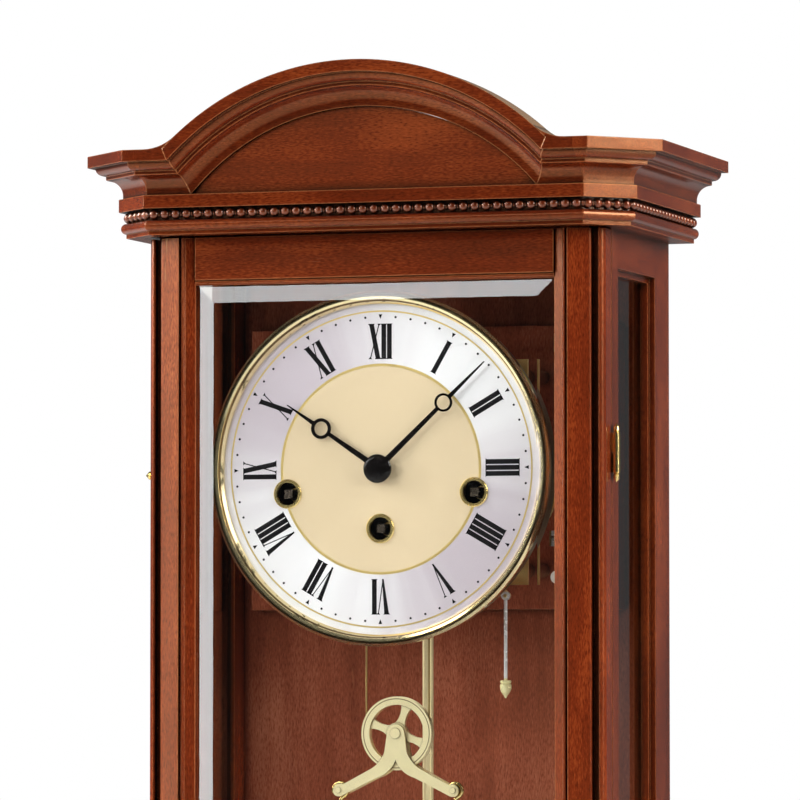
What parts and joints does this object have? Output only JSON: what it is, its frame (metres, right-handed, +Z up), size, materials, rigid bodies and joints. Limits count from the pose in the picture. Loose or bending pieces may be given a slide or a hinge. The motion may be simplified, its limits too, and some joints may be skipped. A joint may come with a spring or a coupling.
{
  "type": "chiming wall clock",
  "caption": "Chiming wall clock in an arched wooden case with canted corners, a hinged bevelled-glass door, key-wound movement, pulley-hung weights and a pendulum.",
  "frame": {"origin": "centre of the round hole of the keyhole hanger, on the wall plane", "axes": "+X to the viewer's right, +Y into the wall, +Z up"},
  "size_m": [0.3064, 0.1579, 0.6389],
  "materials": {
    "case_wood": "lacquered red-brown",
    "clear_glass": "polished, clear",
    "brass": "polished",
    "dial_metal": "brushed silver ring, matt gold centre",
    "black_paint": "gloss black",
    "steel": "bright",
    "hammer_plastic": "off-white"
  },
  "bodies": {
    "case": {"back_board": "case_wood", "left_side_frame": "case_wood", "right_side_frame": "case_wood", "side_glasses": "clear_glass", "cornice_board": "case_wood", "cornice_torus": "case_wood", "cornice_pearls": "case_wood", "cornice_frieze": "case_wood", "crown_arch": "case_wood", "crown_returns": "case_wood", "tympanum": "case_wood", "base_board": "case_wood", "base_moulding": "case_wood", "plinth": "case_wood", "hanger_plate": "steel", "case_hinge_leaves": "brass", "movement_board": "case_wood", "movement_posts": "steel", "back_plate": "brass", "front_plate": "brass", "plate_pillars": "steel", "dial_plate": "dial_metal", "bezel": "brass", "winding_grommets": "brass", "hammer_rail": "steel", "rod_block": "brass", "chime_rods": "steel", "suspension_cock": "brass", "weight_cable": "brass"},
    "door": {"door_left_stile": "case_wood", "door_right_stile": "case_wood", "door_top_rail": "case_wood", "door_bottom_rail": "case_wood", "door_glass": "clear_glass", "glazing_beads": "case_wood", "door_hinge_leaves": "brass", "door_knob": "brass"},
    "minute_set": {"minute_hand": "black_paint", "hand_cap": "black_paint", "centre_arbor": "brass"},
    "hour_set": {"hour_hand": "black_paint", "hour_wheel": "brass"},
    "minute_wheel_set": {"minute_wheel": "brass"},
    "drum": {"cable_drum": "brass"},
    "strike": {"strike_barrel": "brass"},
    "chime": {"chime_barrel": "brass"},
    "pendulum": {"pendulum_rod": "brass", "pendulum_bob": "brass", "rating_nut": "brass"},
    "yoke": {"pulley_yoke": "brass"},
    "pulley": {"pulley_wheel": "brass"},
    "weight_at_left": {"left_weight": "brass"},
    "weight_at_right": {"right_weight": "brass"},
    "lever": {"pull_lever": "brass"},
    "pull": {"pull_rod": "steel"},
    "first_hammer": {"hammer_1": "hammer_plastic"},
    "second_hammer": {"hammer_2": "hammer_plastic"},
    "third_hammer": {"hammer_3": "hammer_plastic"},
    "fourth_hammer": {"hammer_4": "hammer_plastic"}
  },
  "joints": [
    {"name": "door_hinge", "type": "hinge", "parent": "case", "child": "door", "pos_m": [0.1234, -0.108, -0.217], "axis": [0, 0, 1], "range_deg": [0, 105]},
    {"name": "minute_hand_turn", "type": "hinge", "parent": "case", "child": "minute_set", "pos_m": [0, -0.11, -0.095], "axis": [0, 1, 0], "continuous": true},
    {"name": "hour_hand_turn", "type": "hinge", "parent": "case", "child": "hour_set", "pos_m": [0, -0.11, -0.095], "axis": [0, 1, 0], "continuous": true},
    {"name": "minute_wheel_turn", "type": "hinge", "parent": "case", "child": "minute_wheel_set", "pos_m": [0, -0.1, -0.075], "axis": [0, 1, 0], "continuous": true},
    {"name": "weight_slide", "type": "slide", "parent": "case", "child": "yoke", "axis": [0, 0, 1], "range_m": [-0.055, 0.035], "deforming": ["weight_cable"]},
    {"name": "drum_turn", "type": "hinge", "parent": "case", "child": "drum", "pos_m": [0, -0.0818, -0.1252], "axis": [0, 1, 0], "range_deg": [-380, 245]},
    {"name": "pulley_spin", "type": "hinge", "parent": "yoke", "child": "pulley", "pos_m": [0, -0.0818, -0.229], "axis": [0, 1, 0], "range_deg": [-190, 122]},
    {"name": "left_weight_swing", "type": "hinge", "parent": "yoke", "child": "weight_at_left", "pos_m": [-0.0307, -0.0818, -0.258], "axis": [0, 1, 0], "range_deg": [-4, 4]},
    {"name": "right_weight_swing", "type": "hinge", "parent": "yoke", "child": "weight_at_right", "pos_m": [0.0307, -0.0818, -0.258], "axis": [0, 1, 0], "range_deg": [-4, 4]},
    {"name": "strike_winding", "type": "hinge", "parent": "case", "child": "strike", "pos_m": [-0.0497, -0.08, -0.1072], "axis": [0, 1, 0], "continuous": true},
    {"name": "chime_winding", "type": "hinge", "parent": "case", "child": "chime", "pos_m": [0.0497, -0.08, -0.1072], "axis": [0, 1, 0], "continuous": true},
    {"name": "pendulum_swing", "type": "hinge", "parent": "case", "child": "pendulum", "pos_m": [0, -0.031, -0.0476], "axis": [0, 1, 0], "range_deg": [-3.5, 3.5]},
    {"name": "lever_turn", "type": "hinge", "parent": "case", "child": "lever", "pos_m": [0.038, -0.0708, -0.145], "axis": [0, 1, 0], "range_deg": [0, 14], "stiffness_Nm_per_rad": 0.02, "springref_deg": -8.59},
    {"name": "pull_hang", "type": "hinge", "parent": "lever", "child": "pull", "pos_m": [0.055, -0.073, -0.159], "axis": [0, 1, 0], "range_deg": [-15, 1]},
    {"name": "first_hammer_strike", "type": "hinge", "parent": "case", "child": "first_hammer", "pos_m": [0.068, -0.041, -0.129], "axis": [1, 0, 0], "range_deg": [-15, 8]},
    {"name": "second_hammer_strike", "type": "hinge", "parent": "case", "child": "second_hammer", "pos_m": [0.076, -0.041, -0.129], "axis": [1, 0, 0], "range_deg": [-15, 8]},
    {"name": "third_hammer_strike", "type": "hinge", "parent": "case", "child": "third_hammer", "pos_m": [0.084, -0.041, -0.129], "axis": [1, 0, 0], "range_deg": [-15, 8]},
    {"name": "fourth_hammer_strike", "type": "hinge", "parent": "case", "child": "fourth_hammer", "pos_m": [0.092, -0.041, -0.129], "axis": [1, 0, 0], "range_deg": [-15, 8]}
  ],
  "couplings": [
    {"joint": "hour_hand_turn", "follows": "minute_hand_turn", "ratio": 0.083333},
    {"joint": "minute_wheel_turn", "follows": "minute_hand_turn", "ratio": -0.33333},
    {"joint": "drum_turn", "follows": "weight_slide", "rad_per_m": 119.05},
    {"joint": "pulley_spin", "follows": "weight_slide", "rad_per_m": 59.524},
    {"joint": "pull_hang", "follows": "lever_turn", "ratio": -1}
  ]
}
